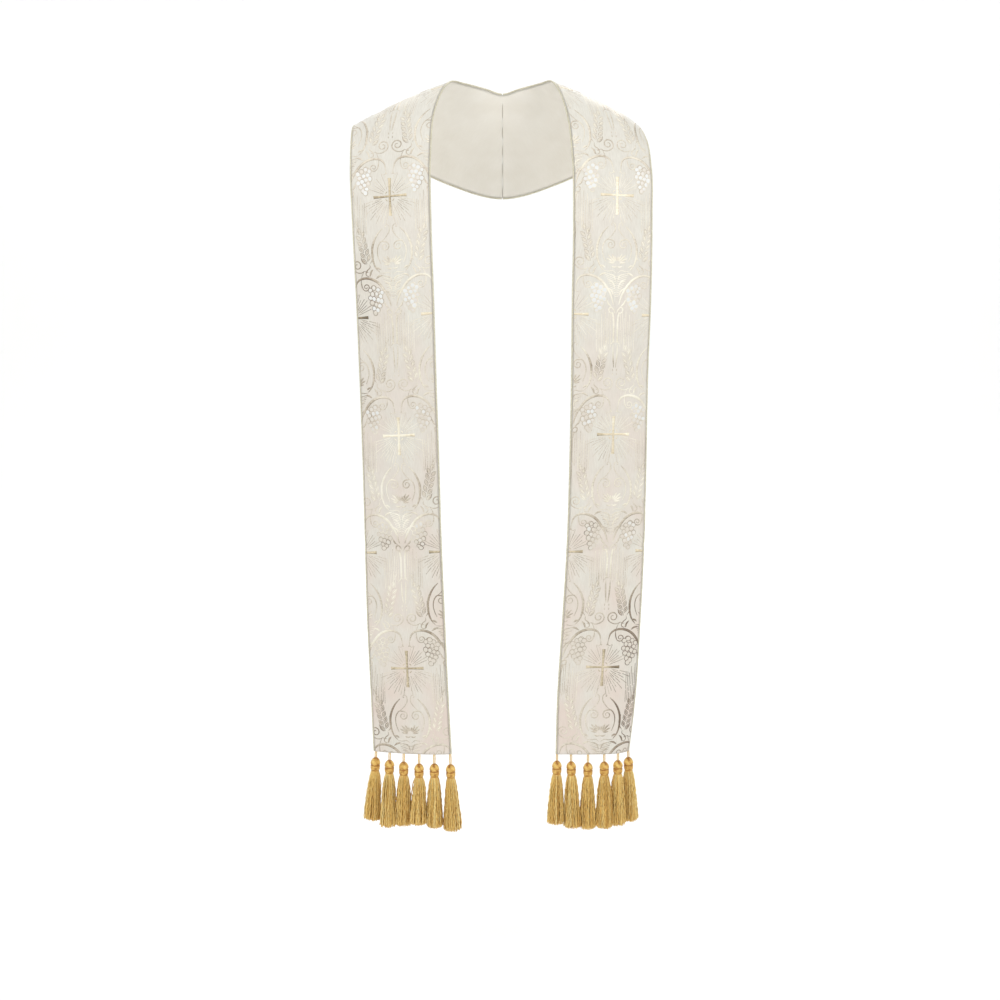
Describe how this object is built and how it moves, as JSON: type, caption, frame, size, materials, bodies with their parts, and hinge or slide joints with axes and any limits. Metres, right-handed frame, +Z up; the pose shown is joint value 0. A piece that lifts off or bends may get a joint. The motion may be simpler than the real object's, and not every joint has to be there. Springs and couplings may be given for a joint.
{
  "type": "clerical stole",
  "caption": "Long brocade vestment band worn round the neck, its two ends hanging in front, with corded edges and a row of tassels on each end.",
  "frame": {"origin": "middle of the neck opening, level with the stole's highest points at the two sides of the neck, where it hangs on the wearer", "axes": "+Z up, the wearer faces -Y, +X to the right as seen from the front"},
  "size_m": [0.4774, 0.2451, 1.1958],
  "materials": {
    "brocade": "satin",
    "woven_gold": "satin",
    "edge_cord": "satin",
    "tassel_gold": "satin"
  },
  "bodies": {
    "root": {"stole_right_half": "brocade", "stole_left_half": "brocade", "cord_right_inner": "edge_cord", "cord_right_outer": "edge_cord", "cord_left_inner": "edge_cord", "cord_left_outer": "edge_cord", "tassel_right_1_cord": "tassel_gold", "tassel_right_1_head": "tassel_gold", "tassel_right_1_skirt": "tassel_gold", "tassel_right_2_cord": "tassel_gold", "tassel_right_2_head": "tassel_gold", "tassel_right_2_skirt": "tassel_gold", "tassel_right_3_cord": "tassel_gold", "tassel_right_3_head": "tassel_gold", "tassel_right_3_skirt": "tassel_gold", "tassel_right_4_cord": "tassel_gold", "tassel_right_4_head": "tassel_gold", "tassel_right_4_skirt": "tassel_gold", "tassel_right_5_cord": "tassel_gold", "tassel_right_5_head": "tassel_gold", "tassel_right_5_skirt": "tassel_gold", "tassel_right_6_cord": "tassel_gold", "tassel_right_6_head": "tassel_gold", "tassel_right_6_skirt": "tassel_gold", "tassel_left_1_cord": "tassel_gold", "tassel_left_1_head": "tassel_gold", "tassel_left_1_skirt": "tassel_gold", "tassel_left_2_cord": "tassel_gold", "tassel_left_2_head": "tassel_gold", "tassel_left_2_skirt": "tassel_gold", "tassel_left_3_cord": "tassel_gold", "tassel_left_3_head": "tassel_gold", "tassel_left_3_skirt": "tassel_gold", "tassel_left_4_cord": "tassel_gold", "tassel_left_4_head": "tassel_gold", "tassel_left_4_skirt": "tassel_gold", "tassel_left_5_cord": "tassel_gold", "tassel_left_5_head": "tassel_gold", "tassel_left_5_skirt": "tassel_gold", "tassel_left_6_cord": "tassel_gold", "tassel_left_6_head": "tassel_gold", "tassel_left_6_skirt": "tassel_gold"}
  },
  "joints": []
}
